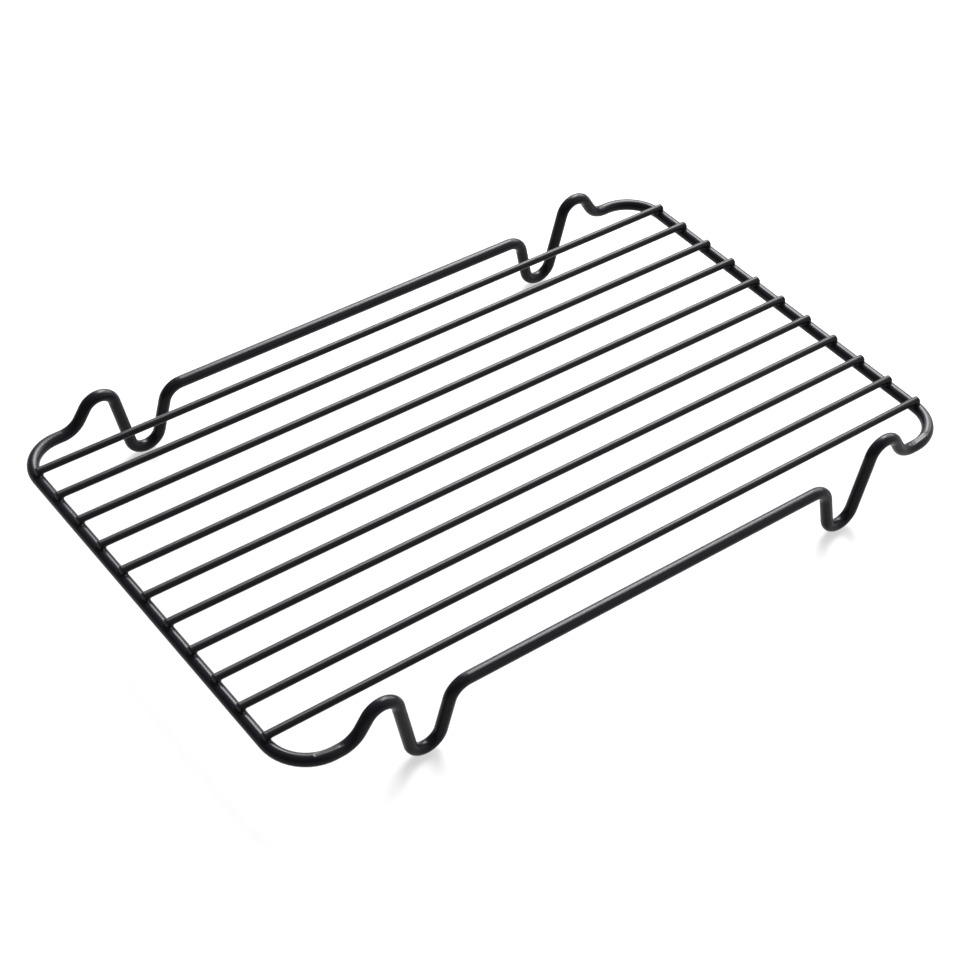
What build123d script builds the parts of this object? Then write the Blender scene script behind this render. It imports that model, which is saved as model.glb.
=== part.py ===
from build123d import *
import math
import os

# Roasting rack: one closed frame of heavy wire, bent up and down along its long sides into
# humps and feet, with a grid of thinner rods welded across its two ends.
# Millimetres. X runs along the rods, Y across them and Z up from the surface under the feet.

# Overall plan size, outside the wire
overall_length = 300.0
overall_width = 189.0

# Wire sizes, over the coating
frame_wire = 4.7
rod_wire = 3.0

# Heights of the frame wire's centreline above or below its two end runs
hump_rise = 11.7
foot_drop = 21.2
rail_rise = 2.4

# Radii of the bends, along the centreline
corner_bend = 16.0
shoulder_bend = 9.2
hump_bend = 6.7
foot_bend = 6.5
rail_bend = 7.4

# Slopes of the legs between the bends, in degrees from level
hump_slope = 58.0
outer_leg_slope = 77.0
inner_leg_slope = 76.5

# Level stretch between each corner bend and the first upward bend
shoulder_run = 2.2

# Grid of rods, with the outermost pair where the end runs start to bend, and how far each rod
# reaches past the middle of the end run under it
rod_count = 11
rod_end_reach = 0.9

# Domed rod ends, rounder over the top: the dome's radius, and how far its centre lies below the rod's
rod_end_dome = 3.2
rod_dome_drop = 0.6

# Resistance welds: how far each rod is pressed into the end run, and the bead round the seat
weld_set_down = 0.25
weld_bead = 0.8

# Places that follow from the sizes above
run_x = (overall_length - frame_wire) / 2
side_y = (overall_width - frame_wire) / 2
corner_x = run_x - corner_bend
corner_y = side_y - corner_bend
run_z = foot_drop + frame_wire / 2
rod_z = run_z + (frame_wire + rod_wire) / 2 - weld_set_down
rod_end_x = run_x + rod_end_reach
rod_pitch = 2 * corner_y / (rod_count - 1)
seat_width = 2 * (rod_wire + weld_bead) + frame_wire


def leg_length(height, slope, first_bend, second_bend):
    """Straight length between two opposite bends that together climb the given height."""
    taken = (first_bend + second_bend) * (1 - math.cos(math.radians(slope)))
    return (height - taken) / math.sin(math.radians(slope))


def side_centreline():
    """Half of one long side, from the corner bend to the middle of the rail, in local X and Z."""
    shoulder = Line((corner_x, run_z), (corner_x - shoulder_run, run_z))
    up_bend = JernArc(shoulder @ 1, shoulder % 1, shoulder_bend, -hump_slope)
    climb = leg_length(hump_rise, hump_slope, shoulder_bend, hump_bend)
    hump_leg = PolarLine(up_bend @ 1, climb, direction=up_bend % 1)
    hump = JernArc(hump_leg @ 1, hump_leg % 1, hump_bend, hump_slope + outer_leg_slope)
    fall = leg_length(hump_rise + foot_drop, outer_leg_slope, hump_bend, foot_bend)
    outer_leg = PolarLine(hump @ 1, fall, direction=hump % 1)
    foot = JernArc(outer_leg @ 1, outer_leg % 1, foot_bend, -outer_leg_slope - inner_leg_slope)
    rise = leg_length(foot_drop + rail_rise, inner_leg_slope, foot_bend, rail_bend)
    inner_leg = PolarLine(foot @ 1, rise, direction=foot % 1)
    level_bend = JernArc(inner_leg @ 1, inner_leg % 1, rail_bend, inner_leg_slope)
    rail = Line(level_bend @ 1, (0, run_z + rail_rise))
    return [shoulder, up_bend, hump_leg, hump, outer_leg, foot, inner_leg, level_bend, rail]


def frame_quarter():
    """A quarter of the frame wire, from the middle of an end run to the middle of a rail."""
    end_run = Line((run_x, 0, run_z), (run_x, corner_y, run_z))
    corner = Location((0, 0, run_z)) * CenterArc((corner_x, corner_y), corner_bend, 0, 90)
    side_plane = Plane(origin=(0, side_y, 0), x_dir=(1, 0, 0), z_dir=(0, -1, 0))
    side = [side_plane * piece for piece in side_centreline()]
    path = Wire([end_run, corner, *side])
    section = Plane(origin=path @ 0, z_dir=path % 0) * Circle(frame_wire / 2)
    return sweep(section, path=path)


def frame_solid():
    """The whole closed wire: four like quarters joined at the middles of the runs and rails."""
    quarter = frame_quarter()
    half = quarter + mirror(quarter, about=Plane.XZ)
    return half + mirror(half, about=Plane.YZ)


def domed_bar():
    """A round-ended bar just outside a rod and its beads, whose two domes shape the rod's ends."""
    bar = Cylinder(rod_end_dome, 2 * (rod_end_x - rod_end_dome), rotation=(0, 90, 0))
    dome = Location((rod_end_dome - rod_end_x, 0, 0)) * Sphere(rod_end_dome)
    return Location((0, 0, rod_z - rod_dome_drop)) * (bar + dome + mirror(dome, about=Plane.YZ))


def welded_rod():
    """A straight rod on the middle line, seated on both end runs with beads, then trimmed by the domes."""
    blank = 2 * (rod_end_x + frame_wire)
    rod = Location((0, 0, rod_z)) * Cylinder(rod_wire / 2, blank, rotation=(0, 90, 0))
    run = Cylinder(frame_wire / 2, seat_width, rotation=(90, 0, 0))
    runs = Location((run_x, 0, run_z)) * run + Location((-run_x, 0, run_z)) * run
    joint = rod + runs
    seams = joint.edges().filter_by(GeomType.BSPLINE)
    return (fillet(seams, weld_bead) - runs) & domed_bar()


def seated_rod(rod, y, frame):
    """A rod set in its place, without the thin slivers where the outermost ones meet the corner bends."""
    cut = Location((0, y, 0)) * rod - frame
    return cut.solids().sort_by(SortBy.VOLUME)[-1]


if __name__ == "__main__":
    os.makedirs("parts", exist_ok=True)
    frame = frame_solid()
    export_step(frame, "parts/frame_wire.step")
    rod = welded_rod()
    for number in range(rod_count):
        y = (number - (rod_count - 1) / 2) * rod_pitch
        export_step(seated_rod(rod, y, frame), f"parts/grid_rod_{number + 1:02d}.step")
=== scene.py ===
import math

import bmesh
import bpy
from bpy.props import FloatProperty, FloatVectorProperty, PointerProperty
from mathutils import Matrix, Vector

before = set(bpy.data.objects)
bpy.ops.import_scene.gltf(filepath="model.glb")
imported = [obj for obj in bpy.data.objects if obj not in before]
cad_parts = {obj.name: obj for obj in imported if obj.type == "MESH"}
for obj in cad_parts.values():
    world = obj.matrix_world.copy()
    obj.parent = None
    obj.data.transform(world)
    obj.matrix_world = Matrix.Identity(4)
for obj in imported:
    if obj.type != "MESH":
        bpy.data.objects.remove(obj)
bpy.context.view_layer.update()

bl_info = {
    "name": "Roasting Rack Dressing",
    "version": (1, 0, 0),
    "blender": (4, 5, 0),
    "location": "3D View > Sidebar > Roasting Rack",
    "description": "Gives a wire roasting rack its non-stick coating and lights it on a pale table",
    "category": "Object",
}

# One millimetre, in Blender's metres
MM = 0.001

# The part's pieces, in metres, with the rods along X and the surface it stands on at Z = 0
FRAME_NODE = "frame_wire"
ROD_NODES = sorted(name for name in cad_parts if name.startswith("grid_rod_"))

# The heavy wire's thickness, and the flats that the bending tool pressed along its top at the near
# side's two corners: the ends and half width of each, all in millimetres
FRAME_WIRE = 4.7
BEND_FLATS = (
    ((-138.0, -90.8, 25.9), (-128.0, -92.2, 25.9), 0.8),
    ((137.8, -91.1, 25.9), (129.6, -92.4, 25.9), 0.95),
)

# The coating's grain, in millimetres: slow clouds of tone, orange peel with its height and how strongly
# it shows, and dust, which is drawn coarser than real dust so that it shows at all
CLOUD_SIZE = 22.0
PEEL_SIZE = 1.1
PEEL_HEIGHT = 0.03
PEEL_STRENGTH = 0.25
DUST_SIZE = 0.35

# How far the dust moves the coating's roughness each way, over the range that its noise mostly keeps to,
# and the coating's refractive index
GLOSS_SPREAD = 0.05
DUST_RANGE = (0.3, 0.7)
COATING_IOR = 1.185

# The light table's fine matt texture and its height, in millimetres, how rough and how shiny the sheet
# is, and how far its top reaches each way in metres
TABLE_GRAIN = 0.8
TABLE_GRAIN_HEIGHT = 0.02
TABLE_GRAIN_STRENGTH = 0.05
TABLE_ROUGHNESS = 0.6
TABLE_SHINE = 0.2
TABLE_REACH = 12.0

# Where the camera and the lights point, and how far off the lights hang, in metres
GRID_MIDDLE = Vector((0.0, 0.0, 23.55 * MM))
SOFTBOX_DISTANCE = 1.6

# The lights: name, bearing and height in degrees as seen from the grid's middle, width and height in
# metres, and the setting that holds the power
SOFTBOXES = (
    ("key_softbox", 45.0, 46.5, (0.66, 0.81), "key_power"),
    ("top_softbox", 24.0, 62.0, (0.63, 0.53), "top_power"),
    ("back_panel", 64.0, 27.5, (0.87, 1.13), "back_power"),
    ("low_softbox", 17.5, 33.5, (1.2, 1.0), "low_power"),
    ("side_panel", 320.0, 23.5, (2.0, 1.3), "side_power"),
)

# How far the camera stands off the line through the grid's middle, so that the rack sits in the frame
# as it does in the photograph, then its sensor in millimetres and the nearest and farthest it sees
SHIFT_LEFT = 3.7198 * MM
SHIFT_DOWN = 14.217 * MM
SENSOR_WIDTH = 36.0
CLIP_RANGE = (0.05, 20.0)


# Colours and nodes

def linear(hex_colour):
    """A colour written as sRGB hex, as the linear RGBA that Blender's shaders take."""
    channels = [int(hex_colour[i:i + 2], 16) / 255 for i in (1, 3, 5)]
    curve = [c / 12.92 if c <= 0.04045 else ((c + 0.055) / 1.055) ** 2.4 for c in channels]
    return (*curve, 1.0)


def add_node(tree, kind, settings=None, inputs=None, links=None):
    """Adds one node, sets its properties and sockets, and links other nodes' outputs to it."""
    node = tree.nodes.new(kind)
    for name, value in (settings or {}).items():
        setattr(node, name, value)
    for socket, value in (inputs or {}).items():
        node.inputs[socket].default_value = value
    for socket, source in (links or {}).items():
        tree.links.new(source, node.inputs[socket])
    return node


def new_material(name):
    """An empty node material, with its output node and the place on the piece that patterns read."""
    material = bpy.data.materials.new(name)
    material.use_nodes = True
    material.node_tree.nodes.clear()
    output = add_node(material.node_tree, "ShaderNodeOutputMaterial")
    place = add_node(material.node_tree, "ShaderNodeTexCoord").outputs["Object"]
    return material, output, place


def noise(tree, place, size_mm, **inputs):
    """Noise whose features are about this size, on coordinates in metres."""
    return add_node(tree, "ShaderNodeTexNoise", inputs={"Scale": 1 / (size_mm * MM), **inputs},
                    links={"Vector": place}).outputs["Fac"]


def vector_step(tree, operation, first, second):
    """One step of vector arithmetic, on a linked value and on one that is linked or fixed."""
    step = add_node(tree, "ShaderNodeVectorMath", settings={"operation": operation}, links={0: first})
    if isinstance(second, bpy.types.NodeSocket):
        tree.links.new(second, step.inputs[1])
    else:
        step.inputs[1].default_value = second
    return step.outputs["Value" if operation == "DOT_PRODUCT" else "Vector"]


# Finishes

def flat_depth(tree, place, start, end, half_width):
    """How far a flat lies under the round wire: 1 on its middle line, falling as a parabola to 0."""
    start, end = Vector(start) * MM, Vector(end) * MM
    along = (end - start).normalized()
    offset = vector_step(tree, "SUBTRACT", place, start)
    reach = add_node(tree, "ShaderNodeClamp", inputs={"Min": 0.0, "Max": (end - start).length},
                     links={"Value": vector_step(tree, "DOT_PRODUCT", offset, along)}).outputs["Result"]
    nearest = add_node(tree, "ShaderNodeVectorMath", settings={"operation": "SCALE"},
                       inputs={0: along}, links={"Scale": reach}).outputs["Vector"]
    across = vector_step(tree, "SUBTRACT", offset, nearest)
    return add_node(tree, "ShaderNodeMapRange",
                    inputs={"From Min": (half_width * MM) ** 2, "From Max": 0.0},
                    links={"Value": vector_step(tree, "DOT_PRODUCT", across, across)}).outputs["Result"]


def satin_nonstick_coating(name, colour, cloud_colour, roughness, flats=()):
    """Baked satin non-stick coating on steel wire, sprayed and cured."""
    # To the eye it is near-black and even, with soft-edged highlights that break up a little,
    # because the sprayed film cures with a faint orange peel and a dust of finer specks. Its
    # refractive index is set below a fluoropolymer's own 1.35, so that it mirrors the pale
    # table as dimly as the photographed wires do. Where the bending tool pressed a flat, the
    # highlight kinks and runs on as an even band. A flat across a round wire is as deep in its
    # middle as its half width squared over the wire's thickness.
    material, output, place = new_material(name)
    tree = material.node_tree
    tone = add_node(tree, "ShaderNodeMix", settings={"data_type": "RGBA"},
                    inputs={"A": colour, "B": cloud_colour},
                    links={"Factor": noise(tree, place, CLOUD_SIZE, Detail=3.0)})
    gloss = add_node(tree, "ShaderNodeMapRange",
                     inputs={"From Min": DUST_RANGE[0], "From Max": DUST_RANGE[1],
                             "To Min": roughness - GLOSS_SPREAD, "To Max": roughness + GLOSS_SPREAD},
                     links={"Value": noise(tree, place, DUST_SIZE, Detail=1.0)})
    bump = add_node(tree, "ShaderNodeBump",
                    inputs={"Strength": PEEL_STRENGTH, "Distance": PEEL_HEIGHT * MM},
                    links={"Height": noise(tree, place, PEEL_SIZE, Detail=2.0)})
    for start, end, half_width in flats:
        bump = add_node(tree, "ShaderNodeBump", settings={"invert": True},
                        inputs={"Strength": 1.0, "Distance": half_width ** 2 / FRAME_WIRE * MM},
                        links={"Height": flat_depth(tree, place, start, end, half_width),
                               "Normal": bump.outputs["Normal"]})
    shader = add_node(tree, "ShaderNodeBsdfPrincipled", inputs={"IOR": COATING_IOR},
                      links={"Base Color": tone.outputs["Result"], "Roughness": gloss.outputs["Result"],
                             "Normal": bump.outputs["Normal"]})
    tree.links.new(shader.outputs["BSDF"], output.inputs["Surface"])
    return material


def opal_light_table(name, colour, glow):
    """Opal acrylic sheet of a product light table, lit softly from below."""
    # It reads as an even white: the glow fills the shadows, so only a breath of grey is left by
    # the feet, and its fine matt texture keeps it from mirroring the wires.
    material, output, place = new_material(name)
    tree = material.node_tree
    bump = add_node(tree, "ShaderNodeBump",
                    inputs={"Strength": TABLE_GRAIN_STRENGTH, "Distance": TABLE_GRAIN_HEIGHT * MM},
                    links={"Height": noise(tree, place, TABLE_GRAIN)})
    shader = add_node(tree, "ShaderNodeBsdfPrincipled",
                      inputs={"Base Color": colour, "Roughness": TABLE_ROUGHNESS,
                              "Specular IOR Level": TABLE_SHINE,
                              "Emission Color": linear("#ffffff"), "Emission Strength": glow},
                      links={"Normal": bump.outputs["Normal"]})
    tree.links.new(shader.outputs["BSDF"], output.inputs["Surface"])
    return material


def coat(node_name, material):
    """Gives a CAD node's object one finish on all its faces."""
    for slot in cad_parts[node_name].material_slots:
        slot.material = material


# Settings that a user would change

class RackFinishSettings(bpy.types.PropertyGroup):
    frame_colour: FloatVectorProperty(
        name="Frame colour", description="Body colour of the heavy wire's coating",
        default=linear("#100f13"), size=4, min=0.0, max=1.0, subtype="COLOR")
    frame_cloud_colour: FloatVectorProperty(
        name="Frame cloud colour", description="Colour that the heavy wire's coating drifts towards",
        default=linear("#131217"), size=4, min=0.0, max=1.0, subtype="COLOR")
    frame_roughness: FloatProperty(
        name="Frame roughness", description="How satin the heavy wire's coating is",
        default=0.26, min=0.05, max=1.0, subtype="FACTOR")
    rod_colour: FloatVectorProperty(
        name="Rod colour", description="Body colour of the thin rods' coating",
        default=linear("#0d0c0f"), size=4, min=0.0, max=1.0, subtype="COLOR")
    rod_cloud_colour: FloatVectorProperty(
        name="Rod cloud colour", description="Colour that the thin rods' coating drifts towards",
        default=linear("#100f12"), size=4, min=0.0, max=1.0, subtype="COLOR")
    rod_roughness: FloatProperty(
        name="Rod roughness", description="How satin the thin rods' coating is",
        default=0.31, min=0.05, max=1.0, subtype="FACTOR")


class RackStageSettings(bpy.types.PropertyGroup):
    table_colour: FloatVectorProperty(
        name="Table colour", description="Colour of the light table's opal sheet when it isn't lit",
        default=linear("#777777"), size=4, min=0.0, max=1.0, subtype="COLOR")
    table_glow: FloatProperty(
        name="Table glow", description="How brightly the light table is lit from below",
        default=0.585, min=0.0)
    room_colour: FloatVectorProperty(
        name="Room colour", description="Colour of the plain room round the stage",
        default=linear("#f4f2f8"), size=4, min=0.0, max=1.0, subtype="COLOR")
    room_brightness: FloatProperty(
        name="Room brightness", description="How bright the plain room round the stage is",
        default=0.35, min=0.0)
    key_power: FloatProperty(
        name="Key power", description="Power of the tall softbox high behind the rack",
        default=59.0, min=0.0, unit="POWER")
    top_power: FloatProperty(
        name="Top power", description="Power of the softbox high behind the rack's right half",
        default=20.5, min=0.0, unit="POWER")
    back_power: FloatProperty(
        name="Back power", description="Power of the low panel behind the rack's left half",
        default=18.5, min=0.0, unit="POWER")
    low_power: FloatProperty(
        name="Low power", description="Power of the broad low softbox behind the rack's right end",
        default=44.0, min=0.0, unit="POWER")
    side_power: FloatProperty(
        name="Side power", description="Power of the broad panel beyond the rack's right end",
        default=9.5, min=0.0, unit="POWER")
    camera_azimuth: FloatProperty(
        name="Camera azimuth", description="Bearing of the camera from the rack, from +X towards +Y",
        default=math.radians(231.3286), subtype="ANGLE")
    camera_elevation: FloatProperty(
        name="Camera elevation", description="Height of the camera's view above the floor",
        default=math.radians(42.5069), subtype="ANGLE")
    camera_roll: FloatProperty(
        name="Camera roll", description="Turn of the camera about its line of sight",
        default=math.radians(2.8951), subtype="ANGLE")
    camera_distance: FloatProperty(
        name="Camera distance", description="Distance from the grid's middle, along the line of sight",
        default=0.80028, unit="LENGTH")
    camera_lens: FloatProperty(
        name="Camera lens", description="Focal length on a 36 mm sensor",
        default=80.311, unit="CAMERA")


# The stage

def lay_floor(settings):
    """The wide flat top of the light table, under the feet."""
    mesh = bpy.data.meshes.new("studio_floor")
    shape = bmesh.new()
    bmesh.ops.create_grid(shape, x_segments=1, y_segments=1, size=TABLE_REACH)
    shape.to_mesh(mesh)
    shape.free()
    mesh.materials.append(opal_light_table("opal_acrylic", settings.table_colour, settings.table_glow))
    floor = bpy.data.objects.new("studio_floor", mesh)
    bpy.context.scene.collection.objects.link(floor)


def outward(bearing, height):
    """The direction that a bearing from +X towards +Y and a height above level point in, in radians."""
    return Vector((math.cos(height) * math.cos(bearing), math.cos(height) * math.sin(bearing),
                   math.sin(height)))


def hang_softbox(name, bearing, height, size, power):
    """A rectangular softbox at a bearing and height in degrees, facing the middle of the grid."""
    light = bpy.data.lights.new(name, "AREA")
    light.shape = "RECTANGLE"
    light.size, light.size_y = size
    light.energy = power
    lamp = bpy.data.objects.new(name, light)
    aim = outward(math.radians(bearing), math.radians(height))
    place = GRID_MIDDLE + aim * SOFTBOX_DISTANCE
    lamp.matrix_world = Matrix.Translation(place) @ aim.to_track_quat("Z", "Y").to_matrix().to_4x4()
    bpy.context.scene.collection.objects.link(lamp)


def set_camera(scene, settings):
    """The camera at the photograph's viewing angle, framed as the photograph is."""
    back = outward(settings.camera_azimuth, settings.camera_elevation)
    right = Vector((0, 0, 1)).cross(back).normalized()
    up = back.cross(right)
    roll = settings.camera_roll
    rolled_right = math.cos(roll) * right + math.sin(roll) * up
    rolled_up = math.cos(roll) * up - math.sin(roll) * right
    shift = rolled_right * SHIFT_LEFT + rolled_up * SHIFT_DOWN
    place = GRID_MIDDLE + back * settings.camera_distance - shift
    data = bpy.data.cameras.new("photo_camera")
    data.sensor_width = SENSOR_WIDTH
    data.lens = settings.camera_lens
    data.clip_start, data.clip_end = CLIP_RANGE
    camera = bpy.data.objects.new("photo_camera", data)
    turn = Matrix((rolled_right, rolled_up, back)).transposed().to_4x4()
    camera.matrix_world = Matrix.Translation(place) @ turn
    scene.collection.objects.link(camera)
    scene.camera = camera


def set_surroundings(scene, settings):
    """A dim, nearly white room round the stage, and colours shown as they are."""
    world = bpy.data.worlds.new("studio_room")
    world.use_nodes = True
    background = world.node_tree.nodes["Background"]
    background.inputs["Color"].default_value = settings.room_colour
    background.inputs["Strength"].default_value = settings.room_brightness
    scene.world = world
    scene.view_settings.view_transform = "Standard"
    scene.view_settings.look = "None"


# Operators and the sidebar

class RACK_OT_coat_frame_wire(bpy.types.Operator):
    """Coats the heavy closed frame wire."""
    bl_idname = "rack.coat_frame_wire"
    bl_label = "Coat Frame Wire"

    def execute(self, context):
        finish = context.scene.rack_finish
        coat(FRAME_NODE, satin_nonstick_coating("nonstick_on_frame_wire", finish.frame_colour,
                                                finish.frame_cloud_colour, finish.frame_roughness,
                                                BEND_FLATS))
        return {"FINISHED"}


class RACK_OT_coat_grid_rods(bpy.types.Operator):
    """Coats the thin rods and their weld beads."""
    bl_idname = "rack.coat_grid_rods"
    bl_label = "Coat Grid Rods"

    def execute(self, context):
        finish = context.scene.rack_finish
        coating = satin_nonstick_coating("nonstick_on_grid_rods", finish.rod_colour,
                                         finish.rod_cloud_colour, finish.rod_roughness)
        for name in ROD_NODES:
            coat(name, coating)
        return {"FINISHED"}


class RACK_OT_set_stage(bpy.types.Operator):
    """Lays the pale floor, hangs the softboxes and sets the camera."""
    bl_idname = "rack.set_stage"
    bl_label = "Set Stage"

    def execute(self, context):
        settings = context.scene.rack_stage
        lay_floor(settings)
        for name, bearing, height, size, power_setting in SOFTBOXES:
            hang_softbox(name, bearing, height, size, getattr(settings, power_setting))
        set_camera(context.scene, settings)
        set_surroundings(context.scene, settings)
        return {"FINISHED"}


class RACK_PT_sidebar(bpy.types.Panel):
    """Lists the rack's settings and steps."""
    bl_label = "Roasting Rack"
    bl_idname = "RACK_PT_sidebar"
    bl_space_type = "VIEW_3D"
    bl_region_type = "UI"
    bl_category = "Roasting Rack"

    def draw(self, context):
        column = self.layout.column()
        for settings in (context.scene.rack_finish, context.scene.rack_stage):
            for name in settings.__annotations__:
                column.prop(settings, name)
        for operator in OPERATORS:
            column.operator(operator.bl_idname)


OPERATORS = (RACK_OT_coat_frame_wire, RACK_OT_coat_grid_rods, RACK_OT_set_stage)
CLASSES = (RackFinishSettings, RackStageSettings, *OPERATORS, RACK_PT_sidebar)


def register():
    for cls in CLASSES:
        bpy.utils.register_class(cls)
    bpy.types.Scene.rack_finish = PointerProperty(type=RackFinishSettings)
    bpy.types.Scene.rack_stage = PointerProperty(type=RackStageSettings)


def unregister():
    del bpy.types.Scene.rack_stage
    del bpy.types.Scene.rack_finish
    for cls in reversed(CLASSES):
        bpy.utils.unregister_class(cls)


def main():
    register()
    bpy.ops.rack.coat_frame_wire()
    bpy.ops.rack.coat_grid_rods()
    bpy.ops.rack.set_stage()


if __name__ == "__main__":
    main()
